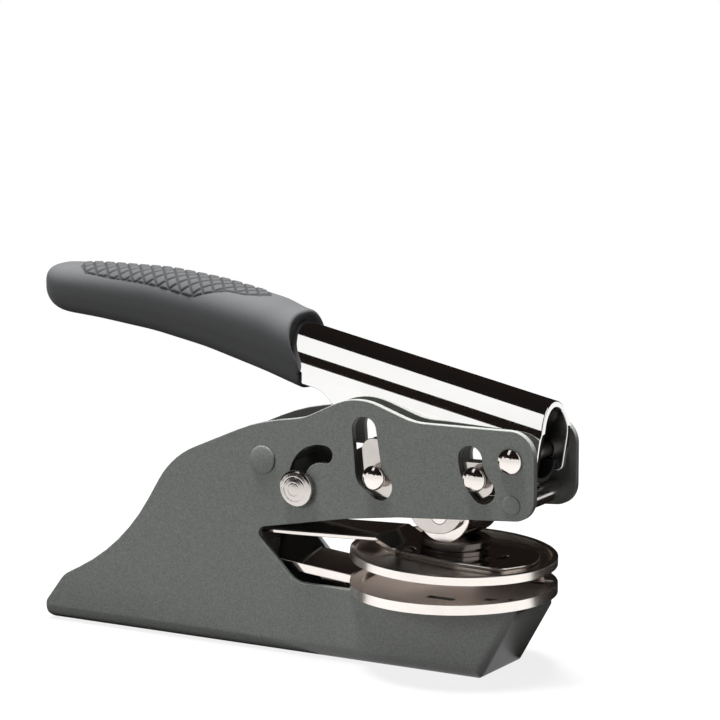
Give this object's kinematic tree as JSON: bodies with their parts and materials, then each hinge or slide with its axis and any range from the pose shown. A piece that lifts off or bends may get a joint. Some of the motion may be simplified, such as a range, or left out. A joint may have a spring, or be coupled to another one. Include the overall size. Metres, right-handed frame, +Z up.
{
  "type": "hand seal embosser",
  "caption": "Hand lever press that closes two round die plates to emboss a seal in paper; painted steel shell, plated lever with rubber grip, slide-out die insert.",
  "frame": {"origin": "on the resting face, straight below the axis of the round die plates", "axes": "+X forward to the jaws, +Y across to the far side plate, +Z up"},
  "size_m": [0.1734, 0.06, 0.1087],
  "materials": {
    "shell_paint": "fine speckled powder coat, satin",
    "mirror_chrome": "mirror polished plating",
    "nickel": "bright nickel plating, slightly warm",
    "plain_steel": "plain steel spacer",
    "die_nickel": "nickel plate, smooth",
    "dark_button": "dark polished steel",
    "bumper": "dark plastic",
    "grip_rubber": "matte soft rubber with raised scales"
  },
  "bodies": {
    "shell": {"body_shell": "shell_paint", "front_tie_rivet": "shell_paint", "rear_tie_rivet": "shell_paint", "front_spacer": "plain_steel", "rear_spacer": "plain_steel", "pivot_pin": "nickel", "pivot_spacer_near": "plain_steel", "pivot_spacer_far": "plain_steel"},
    "handle": {"lever_channel": "mirror_chrome", "front_bumper": "bumper", "grip": "grip_rubber", "crank_pin": "nickel"},
    "press_link": {"link_near": "nickel", "link_far": "nickel", "guide_pin": "nickel", "guide_spacer": "plain_steel", "roller_axle": "nickel"},
    "roller": {"press_roller": "mirror_chrome"},
    "insert": {"lower_arm": "die_nickel", "lower_disc": "die_nickel", "tongue_rivet_near": "plain_steel", "tongue_rivet_far": "plain_steel", "heel_block": "plain_steel", "arm_root": "die_nickel", "heel_rivet_rear": "plain_steel", "heel_rivet_front": "plain_steel"},
    "die_arm": {"upper_disc": "die_nickel", "upper_arm": "die_nickel", "arm_rivet_near": "plain_steel", "arm_rivet_far": "plain_steel", "boss_flange": "dark_button", "button": "dark_button"},
    "lock": {"lock_pin": "nickel", "lock_knob": "nickel", "lock_washer": "nickel", "lock_far_head": "nickel"}
  },
  "joints": [
    {"name": "handle_hinge", "type": "hinge", "parent": "shell", "child": "handle", "pos_m": [0.0253, 0, 0.0649], "axis": [0, -1, 0], "range_deg": [-26, 9]},
    {"name": "link_hinge", "type": "hinge", "parent": "handle", "child": "press_link", "pos_m": [0.0142, 0, 0.0587], "axis": [0, -1, 0], "range_deg": [-8, 23]},
    {"name": "roller_spin", "type": "hinge", "parent": "press_link", "child": "roller", "pos_m": [0.0014, 0, 0.0464], "axis": [0, 1, 0], "continuous": true},
    {"name": "insert_slide", "type": "slide", "parent": "shell", "child": "insert", "axis": [1, 0, 0], "range_m": [0, 0.12]},
    {"name": "spring_arm", "type": "hinge", "parent": "insert", "child": "die_arm", "pos_m": [-0.064, 0, 0.0347], "axis": [0, 1, 0], "range_deg": [-5.5, 2]},
    {"name": "lock_swing", "type": "hinge", "parent": "shell", "child": "lock", "pos_m": [-0.0361, 0, 0.0528], "axis": [0, 1, 0], "range_deg": [0, 117]}
  ],
  "couplings": [
    {"joint": "link_hinge", "follows": "handle_hinge", "ratio": -0.85},
    {"joint": "spring_arm", "follows": "handle_hinge", "ratio": 0.1953}
  ]
}
